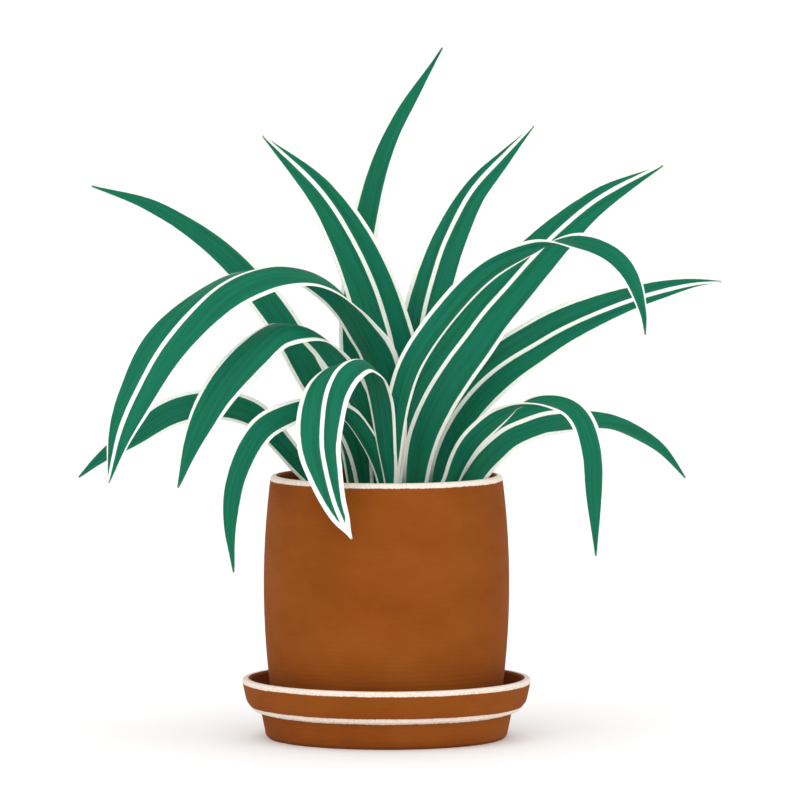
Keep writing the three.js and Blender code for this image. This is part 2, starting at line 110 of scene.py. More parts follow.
# The leaves, as the solids have them. `width` is a blade's full width in millimetres, `foot` the share of
# it at the soil, `taper` the length over which it narrows to the tip, and `fullness` the power of that
# narrowing. A path point is the midrib's place in millimetres and, last, the turn of the upper face about the
# midrib in degrees: 0 faces the viewer, 90 faces up, 180 faces away. `seen` is the way that the viewer looks.
# `hollow` is the depth of the blade's gutter at even steps along the path, as a share of its half width:
# below 0 the blade is a ridge, as it is where it folds over.
#
# The solids don't have the rest. A leaf with `stripe` has a pale stripe down its upper face, that many
# millimetres off the midrib at even steps along the path. `pale` is how many times as wide as usual the pale
# edge is, at even steps along the path: wider where the blade is seen aslant, and slimmer where a neighbour
# stands close. `blunt` is how many times nearer to the tip than usual that edge narrows; the tip is then pale
# all over.
LEAVES = [
    dict(name="leaf_top", width=12.5, taper=125, foot=0.75, path=[
        (-4, 22, ROOT, 25), (-5, 22, 134, 25), (-13, 29, 172, 20), (-17.5, 37, 215, 15),
        (-11, 47, 273, 10), (1.5, 54, 315.5, 5), (30, 60, 365, 0)]),
    dict(name="leaf_upper_left", width=26, taper=126, foot=0.42, stripe=[0, 0, 2.6, 1.7, 0.5], path=[
        (8, 11, ROOT, 10), (8, 11, 135, 10), (6, 14, 168, 10), (3, 15, 200, 10), (-3, 14, 221, 10),
        (-10.2, 12, 242.6, 10), (-19.7, 9, 264, 10), (-35.8, 5, 289.8, 8), (-65.5, -1, 319.5, 5)]),
    dict(name="leaf_far_left", width=14, taper=130, foot=0.7, path=[
        (-10, 13, ROOT, 15), (-12, 13, 134, 15), (-15, 13, 152, 15), (-22, 15, 168, 15),
        (-37, 17, 186, 12), (-56, 22, 219.5, 10), (-79, 28, 247.8, 10), (-99, 33, 265, 10),
        (-126.5, 40, 281, 10), (-158, 48, 291, 10)]),
    dict(name="leaf_left_arch", width=23.5, taper=88, foot=0.38,
         stripe=[0, 0, 0, 0, 0, 0, 2, 2.4, 0.5, 0.7, 0.5],
         hollow=[0.34, 0.3, 0.2, 0, -0.5, -0.65, -0.6, -0.45, -0.15, 0.05, 0.1],
         pale=[1, 1, 1.3, 1.7, 1.8, 1.5, 1.2, 1, 1, 1, 1, 1, 1, 1, 1, 1], path=[
        (3, -6.5, ROOT, 168), (3, -6.5, 136, 168), (1, -8, 170, 150), (-5.2, -10.5, 203, 135),
        (-12.5, -14, 216.4, 128), (-20, -18.5, 228.6, 120), (-28, -23, 238.3, 112), (-40, -29, 246, 98),
        (-54, -35, 249.3, 77), (-66, -40, 248, 62), (-81, -46, 242.5, 47), (-97, -54, 231, 33),
        (-117, -63, 210.3, 15), (-129, -68.5, 189, 8), (-138, -72, 168, 5), (-144.5, -75, 141, 5)]),
    dict(name="leaf_left_droop", width=17, taper=80, foot=0.48,
         hollow=[0.34, 0.34, 0.2, 0, -0.55, -0.7, -0.35, 0, 0.1],
         pale=[1, 1, 1.1, 1.3, 1.5, 1.6, 1.5, 1.2, 1, 1, 1, 1, 1], path=[
        (0, -12, ROOT, 165), (0, -12, 136, 165), (-4, -13, 154, 155), (-11, -14, 172, 145),
        (-17, -16, 186, 138), (-27, -21, 203, 131), (-35.5, -25, 213, 116), (-45, -29, 217.9, 84),
        (-56, -33.5, 218.3, 48), (-71, -41, 206, 20), (-88, -47, 186, 10), (-100.6, -52, 162, 5),
        (-109, -56, 137, 5)]),
    dict(name="leaf_front", width=21.5, taper=75, fullness=1.15, foot=0.3, blunt=3.5,
         pale=[1, 1, 0.8, 1.1, 1.3, 1.3, 1.3, 1.3, 1.3, 1.3, 1.3, 1.3, 1.3],
         stripe=[0, 0, 0, 0, 0, -0.8, -1.5, -0.5, 0.7],
         hollow=[0.34, 0.3, 0, -0.45, -0.45, -0.1, 0.15, 0.2, 0.2], path=[
        (2, -28.4, ROOT, 150), (2, -28.4, 137, 150), (0, -31, 155, 140), (-3, -35, 182, 128),
        (-7.2, -42, 196.6, 117), (-14, -49, 202, 93), (-23, -57, 199.5, 56), (-30.5, -64, 189.5, 27),
        (-34, -69, 176.5, 10), (-35, -73, 160, 0), (-32.2, -75, 147, 0), (-26.8, -78, 130, 0),
        (-17.8, -80, 112, 0)]),
    dict(name="leaf_low_left", width=11.4, taper=72, foot=0.68,
         pale=[1, 0.9, 0.6, 0.5, 0.9, 1, 1, 1, 1, 1, 1], path=[
        (-1, -22, ROOT, 165), (-1, -22, 137, 165), (-6, -23, 153, 155), (-16, -25, 169, 142),
        (-21, -27, 174, 130), (-34, -31, 180, 90), (-46, -36, 176, 40), (-65, -46, 167, 15),
        (-77.8, -54, 144, 8), (-81.6, -58, 120, 5), (-79.8, -62, 93, 5)]),
    dict(name="leaf_side_left", width=15, taper=75, foot=0.6, path=[
        (-22, 4, ROOT, 35), (-25, 4, 122, 38), (-39, 3, 136, 40), (-49, 0, 147.5, 40),
        (-58, -1, 158, 40), (-71, 2, 171, 34), (-91, 6, 176, 33), (-112, 9, 172.5, 28),
        (-134, 12, 159.5, 20), (-152, 14, 147.5, 12), (-164, 15, 137, 10)]),
    dict(name="leaf_upper_right", width=22, taper=132, foot=0.72, stripe=[0, -1.5, -2.1, -1.9, -0.5],
         pale=[0.8, 0.25, 0.5, 1, 1, 1, 1, 1, 1], path=[
        (11, 19.5, ROOT, 15), (11, 19.5, 134, 15), (16, 23, 178, 15), (21, 28, 221, 15),
        (28, 32, 247, 12), (33, 36, 261, 10), (46.5, 43, 287, 10), (64, 51, 307, 8), (79, 58, 323, 5)]),
    dict(name="leaf_high_right", width=28.5, taper=168, foot=0.75,
         stripe=[-1, -2.6, -1.4, -0.6, -1.5, -0.8], path=[
        (11, 3, ROOT, 0), (11, 3, 135, 0), (14, 4, 158, 0), (22, 6, 179, 0), (33, 10, 198, 0),
        (42.5, 16, 211, 0), (53, 24, 225, 0), (66, 32, 239, 0), (78, 39, 251.5, 0),
        (94, 48, 266.8, 5), (115.5, 60, 283.8, 8), (149, 76, 301, 8)]),
    dict(name="leaf_right_arch", width=12, taper=75, foot=0.5, path=[
        (3, -17, ROOT, 170), (3, -17, 136, 170), (4, -18, 159, 165), (7, -20, 181, 160),
        (13.4, -23, 200.4, 156), (31.3, -28, 226.6, 152), (54.4, -34, 250.4, 146), (78, -39, 262, 122),
        (87, -41, 264.5, 94), (99, -44, 264.5, 58), (110.5, -46, 262, 40), (120.3, -48, 256.5, 28),
        (127.8, -50, 247.3, 22), (134.2, -53, 228, 20), (135.3, -54, 217, 20)]),
    dict(name="leaf_right", width=22.5, taper=156, foot=0.62, stripe=[0, -3, -1.6, 0.6, 0.9, 0.3],
         pale=[1, 0.5, 0.2, 0.5, 1, 1, 1, 1, 1, 1, 1], path=[
        (23, 12, ROOT, 10), (24.5, 12, 134, 10), (30, 17, 152, 10), (39, 23, 170, 10),
        (50, 29, 184.5, 10), (62.8, 35, 196.3, 10), (78.8, 44, 206.6, 10), (95.8, 52, 216, 12),
        (130.8, 66, 229.5, 15), (165, 80, 237.2, 15), (181, 86, 237.8, 15)]),
    dict(name="leaf_low_right", width=11.2, taper=65, foot=0.8, path=[
        (27, -4, ROOT, 165), (29, -4, 126, 162), (34.5, -5, 137, 162), (38.5, -6, 147, 160),
        (45, -9, 158, 158), (54, -12, 167, 152), (61, -15, 172.5, 136), (68, -19, 177, 108),
        (77, -22, 179.7, 80), (87, -25, 179.7, 58), (96, -28, 177, 42), (102.5, -31, 170.5, 28),
        (107.7, -36, 154, 15), (108.9, -40, 129, 10), (110, -43, 100, 5)]),
    dict(name="leaf_side_right", width=20.6, taper=122, foot=0.68,
         stripe=[-3, -4.5, -5, -4.6, -3.8, -2.9, -2, -2.4, -4.4, -8, -14, -16, -16, -16], path=[
        (33, 4, ROOT, 5), (36, 4, 125, 5), (43, 4, 135, 5), (50, 6, 146.5, 5), (57, 8, 154.5, 8),
        (64, 10, 160.9, 12), (74, 13, 166, 16), (84, 16, 168.8, 24), (93, 19, 168.2, 40),
        (103, 22, 166.5, 56), (121, 27, 164.5, 56), (141, 32, 155, 46), (148, 34, 149.5, 40),
        (160, 37, 135, 35)]),
    dict(name="leaf_back_left", width=14, taper=80, foot=0.6, seen=(1, 0.2, 0),
         pale=[0.8, 0.4, 0.7, 1, 1, 1, 1, 1], path=[
        (-7, 29, ROOT, 90), (-8, 31, 135, 90), (-12, 42, 162, 90), (-17, 58, 172, 90),
        (-22, 78, 160, 90), (-27, 95, 128, 90), (-30, 104, 92, 90), (-31, 108, 60, 90)]),
    dict(name="leaf_back", width=17, taper=95, foot=0.5, stripe=[0, 0], seen=(1, -0.1, 0), path=[
        (5, 29, ROOT, 90), (6, 31, 138, 90), (8, 43, 168, 90), (11, 62, 184, 90), (14, 86, 176, 90),
        (17, 108, 148, 90), (19, 122, 108, 90), (19, 128, 70, 90)]),
    dict(name="leaf_back_right", width=14, taper=85, foot=0.6, stripe=[0, 0], seen=(1, -0.3, 0), path=[
        (17, 26, ROOT, 90), (19, 30, 135, 90), (25, 42, 160, 90), (31, 60, 169, 90),
        (37, 78, 160, 90), (42, 94, 132, 90), (45, 103, 94, 90)]),
    dict(name="leaf_back_low", width=12, taper=75, foot=0.65, seen=(1, 0.5, 0),
         pale=[0.8, 0.4, 0.7, 1, 1, 1, 1], path=[
        (-16, 22, ROOT, 90), (-18, 26, 135, 90), (-22, 39, 156, 90), (-30, 56, 163, 90),
        (-37, 74, 152, 90), (-43, 90, 122, 90), (-46, 98, 90, 90)]),
]


def colour(name, description, default):
    """A colour setting, in linear red, green and blue."""
    return bpy.props.FloatVectorProperty(name=name, description=description, default=default, size=3,
                                         min=0, max=1, subtype="COLOR")


def length(name, description, default):
    """A length setting, from its default in millimetres."""
    return bpy.props.FloatProperty(name=name, description=description, default=default * MM, min=0,
                                   precision=5, subtype="DISTANCE", unit="LENGTH")


class ClaySettings(bpy.types.PropertyGroup):
    """The fired clay of the pot and the saucer."""

    body: colour("Clay", "The clay's main colour", (0.240, 0.0585, 0.0050))
    light: colour("Light clay", "The dry, dusty places of the clay", (0.285, 0.078, 0.0100))
    dark: colour("Dark clay", "The damp and deep-fired places of the clay", (0.178, 0.040, 0.0035))
    lip: colour("Lip", "The chalky edges of the rims and the saucer's step", (0.860, 0.770, 0.670))
    lip_width: length("Lip width", "How far the chalky edge reaches down from a rim", 2.6)
    ring_spacing: length("Ring spacing", "The distance between the potter's rings", 2.6)
    sides: bpy.props.IntProperty(name="Sides", description="Steps of each turned piece around its axis",
                                 default=160, min=24, max=400)


class SoilSettings(bpy.types.PropertyGroup):
    """The potting mix."""

    dark: colour("Dark soil", "The damp grains of the soil", (0.020, 0.012, 0.007))
    light: colour("Light soil", "The dry grains of the soil", (0.095, 0.058, 0.034))
    fibre: colour("Fibre", "The pale fibres in the soil", (0.16, 0.095, 0.05))
    grit: colour("Grit", "The pale bits of mineral grit among the crumbs", (0.62, 0.58, 0.50))
    crumbs: bpy.props.IntProperty(name="Crumbs", description="Loose crumbs on the soil", default=620,
                                  min=0, max=900)
    grit_bits: bpy.props.IntProperty(name="Grit bits", description="Pale bits on the soil", default=64,
                                     min=0, max=200)
    relief: length("Relief", "How high the soil's surface heaves", 2.4)


class LeafSettings(bpy.types.PropertyGroup):
    """The blades of the leaves."""

    green: colour("Green", "The upper face", (0.0008, 0.1500, 0.0790))
    deep: colour("Deep green", "The darker streaks between the veins", (0.0005, 0.1170, 0.0620))
    fresh: colour("Fresh green", "The paler green near the soil and along the veins",
                  (0.0100, 0.2000, 0.0920))
    under: colour("Underside", "The underside, which is duller", (0.0050, 0.1460, 0.0820))
    stripe: colour("Stripe", "The stripe down the middle of some leaves", (0.930, 0.945, 0.870))
    margin: colour("Margin", "The thin pale edge of a blade", (0.920, 0.940, 0.860))
    tip: colour("Tip", "The dry point of a blade", (0.22, 0.26, 0.09))
    stripe_width: length("Stripe width", "Full width of the stripe", 2.2)
    margin_width: length("Margin width", "Width of the pale edge", 1.9)
    overhang: length("Overhang", "How far the pale edge stands out past the solid's edge", 1.65)
    vein_spacing: length("Vein spacing", "The distance between the fine veins", 0.95)
    step: length("Step", "The length of one row of faces along a blade", 3.2)


class StageSettings(bpy.types.PropertyGroup):
    """The floor, the light and the camera."""

    floor: colour("Floor", "The plain pale floor", (0.985, 0.985, 0.980))
    distance: bpy.props.FloatProperty(name="Distance", default=4.0, min=0.5, unit="LENGTH",
                                      description="From the camera to the middle of the picture")
    elevation: bpy.props.FloatProperty(name="Elevation", description="How far the camera looks down",
                                       default=math.radians(3.8), subtype="ANGLE", unit="ROTATION")
    lens: bpy.props.FloatProperty(name="Lens", description="Focal length on a 36 mm sensor", default=339.6,
                                  min=20, unit="CAMERA")
    key: bpy.props.FloatProperty(name="Key light", description="Power of the large light at the upper left",
                                 default=9, min=0, unit="POWER")
    front: bpy.props.FloatProperty(name="Front light", description="Power of the large light in front",
                                   default=9, min=0, unit="POWER")
    fill: bpy.props.FloatProperty(name="Fill light", description="Power of the light at the right",
                                  default=3, min=0, unit="POWER")


class Value:
    """A shader socket that can be added, multiplied and so on, which adds the Math nodes."""

    def __init__(self, finish, socket):
        self.finish = finish
        self.socket = socket

    def maths(self, operation, *others):
        """The result of a Math node that has this value first and the others after it."""
        return self.finish.node("ShaderNodeMath", {"operation": operation},
                                {i: value for i, value in enumerate((self, *others))})

    def __add__(self, other):
        return self.maths("ADD", other)

    __radd__ = __add__

    def __mul__(self, other):
        return self.maths("MULTIPLY", other)

    __rmul__ = __mul__

    def __sub__(self, other):
        return self.maths("SUBTRACT", other)

    def __rsub__(self, other):
        return self.finish.node("ShaderNodeMath", {"operation": "SUBTRACT"}, {0: other, 1: self})

    def __truediv__(self, other):
        return self.maths("DIVIDE", other)

    def __abs__(self):
        return self.maths("ABSOLUTE")

    def least(self, other):
        return self.maths("MINIMUM", other)

    def most(self, other):
        return self.maths("MAXIMUM", other)

    def sine(self):
        return self.maths("SINE")

    def rise(self, low, high):
        """0 below low, 1 above high, and a smooth rise between them."""
        return self.finish.node("ShaderNodeMapRange", {"interpolation_type": "SMOOTHSTEP"},
                                {"Value": self, "From Min": low, "From Max": high})


class Finish:
    """A material and the nodes that make it."""

    def __init__(self, name):
        self.material = bpy.data.materials.new(name)
        self.material.use_nodes = True
        self.tree = self.material.node_tree
        self.shader = self.tree.nodes["Principled BSDF"]

    def node(self, kind, settings=None, sockets=None, output=0):
        """A node of a kind, with its settings set first and then its sockets' values or links."""
        node = self.tree.nodes.new(kind)
        for key, value in (settings or {}).items():
            setattr(node, key, value)
        self.feed(node, sockets or {})
        return Value(self, node.outputs[output])

    def feed(self, node, sockets):
        """Link a node's sockets to values, or set them to plain numbers and colours."""
        for key, value in sockets.items():
            socket = node.inputs[key]
            if isinstance(value, Value):
                self.tree.links.new(value.socket, socket)
            elif isinstance(value, tuple) and len(value) == 3 and len(socket.default_value) == 4:
                socket.default_value = (*value, 1)
            else:
                socket.default_value = value

    def place(self, scale=(1, 1, 1)):
        """Object coordinates in metres, stretched by scale."""
        spot = self.node("ShaderNodeTexCoord", output="Object")
        return self.node("ShaderNodeMapping", None, {"Vector": spot, "Scale": scale})

    def split(self, vector):
        """The three parts of a vector."""
        return [self.node("ShaderNodeSeparateXYZ", None, {0: vector}, output=i) for i in range(3)]

    def noise(self, vector, scale, detail=3, roughness=0.55):
        """Cloudy noise about 0.5, finer for a larger scale."""
        return self.node("ShaderNodeTexNoise", None, {"Vector": vector, "Scale": scale, "Detail": detail,
                                                      "Roughness": roughness})

    def mix(self, share, one, other):
        """One colour going over into another as share rises from 0 to 1."""
        return self.node("ShaderNodeMix", {"data_type": "RGBA"}, {0: share, 6: one, 7: other}, output=2)

    def bump(self, height, distance, strength=1.0):
        """The normal of a surface in relief, distance metres deep."""
        return self.node("ShaderNodeBump", None,
                         {"Height": height, "Distance": distance, "Strength": strength})

    def done(self, **sockets):
        """Feed the main shader and return the finished material."""
        self.feed(self.shader, {key.replace("_", " "): value for key, value in sockets.items()})
        return self.material


def shade(values):
    """A colour setting as a plain tuple."""
    return tuple(values)


def clay_finish(name, settings, edges, damp_below, dry_above):
    """Fired clay: grain, blotches, the potter's rings, chalky edges and a damp foot. `edges` are (low, high,
    radius) bands in millimetres above the floor, outside that radius, that have gone chalky. It is damp below
    one height and dry above the other."""
    finish = Finish(name)
    spot = finish.place()
    x, y, z = finish.split(spot)
    height = z / MM
    radius = (x * x + y * y).maths("SQRT") / MM
    grain = finish.noise(spot, 900, 4, 0.6)
    sand = finish.noise(spot, 2600, 2, 0.5)
    blotch = finish.noise(finish.place((1, 1, 1.6)), 22, 4, 0.55)
    wander = finish.noise(finish.place((1, 1, 3)), 60, 2)
    rings = ((height / (settings.ring_spacing / MM) + wander * 0.9) * math.tau).sine()

    # Dry and damp blotches lie over the clay's main colour, and then its pale grain and dark sand.
    body = finish.mix(blotch.rise(0.42, 0.70) * 0.6, shade(settings.body), shade(settings.light))
    body = finish.mix(blotch.rise(0.48, 0.28) * 0.45, body, shade(settings.dark))
    body = finish.mix(grain.rise(0.56, 0.72) * 0.35, body, shade(settings.light))
    body = finish.mix(sand.rise(0.60, 0.70) * 0.40, body, shade(settings.dark))

    # The chalky bands have ragged edges.
    ragged = (grain - 0.5) * 0.9 + (wander - 0.5) * 0.7
    chalk = None
    for low, high, reach in edges:
        above = (height + ragged).rise(low - 0.25, low + 0.25)
        below = (height + ragged).rise(high + 0.25, high - 0.25)
        band = above * below * radius.rise(reach - 0.4, reach + 0.4)
        chalk = band if chalk is None else chalk.most(band)
    chalk = chalk * (0.82 + 0.18 * grain.rise(0.35, 0.6))
    body = finish.mix(chalk, body, shade(settings.lip))

    # The foot is damp up to a line that the blotches bend.
    damp = (height + (blotch - 0.5) * 14).rise(dry_above, damp_below) * 0.5
    body = finish.mix(damp, body, shade(settings.dark))
    rough = 0.93 - damp * 0.22 - sand.rise(0.5, 0.7) * 0.06
    relief = grain * 0.5 + sand * 0.25 + rings * 0.10 + blotch * 0.3
    return finish.done(Base_Color=body, Roughness=rough, Normal=finish.bump(relief, 0.00035, 0.8),
                       IOR=1.45, Specular_IOR_Level=0.15)


def soil_finish(settings):
    """Potting mix: damp and dry clods, grains, and pale fibres."""
    finish = Finish("potting soil")
    spot = finish.place()
    clod = finish.noise(spot, 160, 5, 0.65)
    grain = finish.noise(spot, 700, 4, 0.65)
    fibre = finish.noise(finish.place((1, 0.25, 1)), 1100, 2, 0.6)
    dry = (clod * 0.6 + grain * 0.4).rise(0.42, 0.68)
    body = finish.mix(dry, shade(settings.dark), shade(settings.light))
    body = finish.mix(fibre.rise(0.64, 0.70) * 0.6, body, shade(settings.fibre))
    return finish.done(Base_Color=body, Roughness=0.96 - clod.rise(0.4, 0.7) * 0.12,
                       Normal=finish.bump(clod * 0.5 + grain * 0.6 + fibre * 0.2, 0.0012, 1.0),
                       Specular_IOR_Level=0.25)


def grit_finish(settings):
    """Mineral grit, darker in its hollows: painted shade, on the same noise as its bumps."""
    finish = Finish("mineral grit")
    spot = finish.place()
    grain = finish.noise(spot, 1500, 3)
    # The darker colour is painted shade, laid where the grit's bump relief sinks.
    painted_hollow_shade = shade(0.55 * part for part in settings.grit)
    body = finish.mix(grain.rise(0.40, 0.62), painted_hollow_shade, shade(settings.grit))
    return finish.done(Base_Color=body, Roughness=0.9, Normal=finish.bump(grain, 0.0004))


def leaf_finish(name, settings, upper, striped):
    """A blade's face. Its first UV map holds the millimetres across and along the blade, and its second one
    the millimetres to its edge and to its tip, as make_leaf writes them."""
    finish = Finish(name)
    blade = finish.split(finish.node("ShaderNodeUVMap", {"uv_map": "blade"}))
    rest = finish.split(finish.node("ShaderNodeUVMap", {"uv_map": "edge"}))
    across = blade[0] * UV_SCALE - UV_MIDDLE
    along = blade[1] * UV_SCALE
    to_edge = rest[0] * UV_SCALE
    to_tip = rest[1] * UV_SCALE

    def streaks(fine, long, detail=3):
        """Noise drawn out along the blade, and a little different on each blade."""
        grid = finish.node("ShaderNodeCombineXYZ", None,
                           {0: across * fine, 1: along * long, 2: to_tip * 0.002})
        return finish.noise(grid, 1.0, detail, 0.6)

    broad = streaks(0.45, 0.018)
    fine = streaks(3.2, 0.05)
    ragged = streaks(0.25, 0.16, 4) - 0.5
    veins = (across * (math.tau * MM / settings.vein_spacing) + broad * 5).sine()
    main = settings.green if upper else settings.under
    body = finish.mix(broad.rise(0.40, 0.66), shade(main), shade(settings.deep))
    light = veins.rise(0.35, 1.0) * 0.20 + fine.rise(0.55, 0.75) * 0.22
    body = finish.mix(light, body, shade(settings.fresh))
    body = finish.mix(along.rise(52, 14) * 0.55, body, shade(settings.fresh))

    # The pale edge and the stripe both narrow towards the tip.
    width = (to_tip * 0.038).least(settings.margin_width / MM)
    margin = (to_edge + ragged * 0.35).rise(width + 0.2, width - 0.2)
    rough = 0.47 + fine * 0.14
    if upper and striped:
        reach = (to_tip * 0.02 + 0.5).least(settings.stripe_width / MM / 2)
        inside = abs(across + ragged * 0.22) - reach + (fine - 0.5) * 0.4
        stripe = inside.rise(0.18, -0.14) * along.rise(16, 40)
        tint = finish.mix(fine.rise(0.35, 0.75) * 0.35, shade(settings.stripe), shade(settings.margin))
        body = finish.mix(stripe, body, tint)
    else:
        # Along the midrib, the upper face is darker in the groove that its bump cuts: painted shade. The
        # underside is paler along its raised rib.
        rib = abs(across).rise(1.1, 0.2)
        body = finish.mix(rib * 0.30, body, shade(settings.deep if upper else settings.fresh))
    body = finish.mix(margin, body, shade(settings.margin))
    body = finish.mix(to_tip.rise(4, 0.5) * 0.3, body, shade(settings.tip))
    relief = veins * 0.30 + fine * 0.5 + broad * 0.6 + abs(across).rise(1.6, 0.0) * (-0.9 if upper else 0.9)
    return finish.done(Base_Color=body, Roughness=rough if upper else rough + 0.14,
                       Normal=finish.bump(relief, 0.00016, 0.9), Specular_IOR_Level=0.14 if upper else 0.12,
                       Subsurface_Weight=0.06, Subsurface_Radius=(0.4, 1.0, 0.3), Subsurface_Scale=0.0012)


def deselect():
    """Leave edit mode and select nothing."""
    if bpy.context.mode != "OBJECT":
        bpy.ops.object.mode_set(mode="OBJECT")
    bpy.ops.object.select_all(action="DESELECT")


def pick(piece):
    """Select one piece alone and make it active."""
    deselect()
    piece.select_set(True)
    bpy.context.view_layer.objects.active = piece


def named(name):
    """The object that an operator has just added, under a plain name."""
    piece = bpy.context.active_object
    piece.name = name
    piece.data.name = name
    return piece


def modifier(piece, kind, **settings):
    """A modifier added and applied."""
    pick(piece)
    added = piece.modifiers.new(kind.lower(), kind)
    for key, value in settings.items():
        setattr(added, key, value)
    bpy.ops.object.modifier_apply(modifier=added.name)


def smooth(piece, degrees=35):
    """Smooth shading, with edges sharper than the angle kept."""
    pick(piece)
    bpy.ops.object.shade_smooth_by_angle(angle=math.radians(degrees))


def stands_for(piece, node):
    """Put a piece in the place of the solid of that node."""
    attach(piece, "root")
    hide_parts(node)


def spin_outline(name, outline, sides):
    """A closed outline of (radius, height) in millimetres, drawn point by point and spun about the axis."""
    deselect()
    points = [Vector((radius * MM, 0, height * MM)) for radius, height in outline]
    bpy.ops.mesh.primitive_plane_add(size=MM, location=points[0])
    piece = named(name)
    bpy.ops.object.transform_apply(location=True)
    bpy.ops.object.mode_set(mode="EDIT")
    bpy.ops.mesh.merge(type="CENTER")
    for before, after in zip(points, points[1:]):
        bpy.ops.mesh.extrude_region_move(TRANSFORM_OT_translate={"value": after - before})
    bpy.ops.mesh.select_all(action="SELECT")
    bpy.ops.mesh.spin(steps=sides, angle=math.tau, center=(0, 0, 0), axis=(0, 0, 1))
    bpy.ops.mesh.select_all(action="SELECT")
    bpy.ops.mesh.remove_doubles(threshold=1e-5)
    bpy.ops.mesh.normals_make_consistent(inside=False)
    bpy.ops.object.mode_set(mode="OBJECT")
    return piece


def rounded(corners, steps=5):
    """An outline whose corners are rounded. A corner is (radius, height, rounding), all in millimetres."""
    outline = []
    count = len(corners)
    for i, (x, z, bend) in enumerate(corners):
        here = Vector((x, z))
        if not bend:
            outline.append((x, z))
            continue
        before = Vector(corners[i - 1][:2]) - here
        after = Vector(corners[(i + 1) % count][:2]) - here
        start = here + before.normalized() * min(bend, before.length * 0.48)
        end = here + after.normalized() * min(bend, after.length * 0.48)
        for k in range(steps + 1):
            t = k / steps
            spot = start.lerp(here, t).lerp(here.lerp(end, t), t)
            outline.append((spot.x, spot.y))
    return outline


def pot_radius(height):
    """The pot's outer radius at a height above its own base."""
    return BELLY_RADIUS - BELLY_FALL * ((height - BELLY_HEIGHT) / BELLY_SPAN) ** 2


class MakeSaucer(bpy.types.Operator):
    """Turn the saucer: a foot, a step and a wide band that flares to the rim"""

    bl_idname = "spider_plant.make_saucer"
    bl_label = "Saucer"

    def execute(self, context):
        clay = context.scene.spider_clay
        corners = [
            (0, 0, 0), (62.2, 0, 0), (64.1, 1.4, 1.0), (66.5, 13.2, 0.6), (66.9, SAUCER_STEP, 0.4),
            (70.6, 14.7, 0.8), (72.5, 17.2, 1.4), (74.4, 19.6, 1.8), (76.8, 30.6, 0.5),
            (76.0, SAUCER_HEIGHT, 0.9), (72.7, SAUCER_HEIGHT, 0.8), (71.8, 30.8, 0.5), (67.5, 17.2, 3.0),
            (61.8, 14.0, 2.0), (61.4, SAUCER_FLOOR, 1.5), (0, SAUCER_FLOOR, 0),
        ]
        piece = spin_outline("saucer_clay", rounded(corners), clay.sides)
        lip = clay.lip_width / MM
        edges = [(SAUCER_STEP - 0.3, SAUCER_STEP + 1.5, 65), (SAUCER_STEP + 1.1, SAUCER_STEP + 3.0, 69.5),
                 (SAUCER_HEIGHT - lip, SAUCER_HEIGHT + 2, 73.5)]
        piece.data.materials.append(clay_finish("saucer clay", clay, edges, 1.0, 7.0))
        smooth(piece)
        stands_for(piece, "saucer")
        return {"FINISHED"}


class MakePot(bpy.types.Operator):
    """Turn the pot: a barrel with a rounded rim and a drainage hole"""

    bl_idname = "spider_plant.make_pot"
    bl_label = "Pot"

    def execute(self, context):
        clay = context.scene.spider_clay
        levels = [2.2, 6, 12, 20, 30, 40, 50, 60, 70, 80, 90, 100, 110, 118, 124, 128]
        outside = [(pot_radius(h), POT_BASE + h, 0) for h in levels]
        inside = [(pot_radius(h) - POT_WALL, POT_BASE + h, 0) for h in reversed(levels) if h > 10]
        rim = pot_radius(POT_HEIGHT)
        corners = [
            (DRAIN_RADIUS, POT_BASE, 0.8), (pot_radius(0) - 0.4, POT_BASE, 1.6), *outside,
            (rim, POT_TOP, 1.8), (rim - POT_WALL, POT_TOP, 1.8), *inside,
            (pot_radius(POT_FLOOR) - POT_WALL - 0.6, POT_BASE + POT_FLOOR, 2.0),
            (DRAIN_RADIUS, POT_BASE + POT_FLOOR, 0.8),
        ]
        outline = rounded(corners)
        piece = spin_outline("pot_clay", [*outline, outline[0]], clay.sides)
        edges = [(POT_TOP - clay.lip_width / MM, POT_TOP + 2, 58.6)]
        piece.data.materials.append(clay_finish("pot clay", clay, edges, 8.0, 24.0))
        smooth(piece)
        stands_for(piece, "pot")
        return {"FINISHED"}


def scatter(rng, count, low, high, flat):
    """Crumbs strewn on the soil, clear of the leaves' feet: each one's place, its size in millimetres, which
    is more often near low than near high, its turn, and its height as a share of its size."""
    feet = [Vector(leaf["path"][1][:2]) for leaf in LEAVES]
    found = []
    while len(found) < count:
        angle = rng.uniform(0, math.tau)
        reach = STREWN_RADIUS * math.sqrt(rng.random())
        spot = Vector((reach * math.cos(angle), reach * math.sin(angle)))
        size = low + (high - low) * rng.random() ** 2.2
        if all((spot - foot).length > FOOT_ROOM + size for foot in feet):
            found.append((spot, size, [rng.uniform(0, math.tau) for _ in range(3)], flat))
    return found


def soil_height(x, y, relief):
    """The height of the soil's surface in millimetres at a place in millimetres."""
    crown = SOIL_TOP - SOIL_FALL * min(1, math.hypot(x, y) / SOIL_RADIUS) ** 2
    clods = noise.fractal(Vector((x, y, 3)) / 16, 0.9, 2.1, 4)
    grains = noise.fractal(Vector((x, y, 9)) / 4.5, 1, 2, 3)
    return crown - SOIL_SINK + relief * 0.55 * (clods + 0.45 * grains)


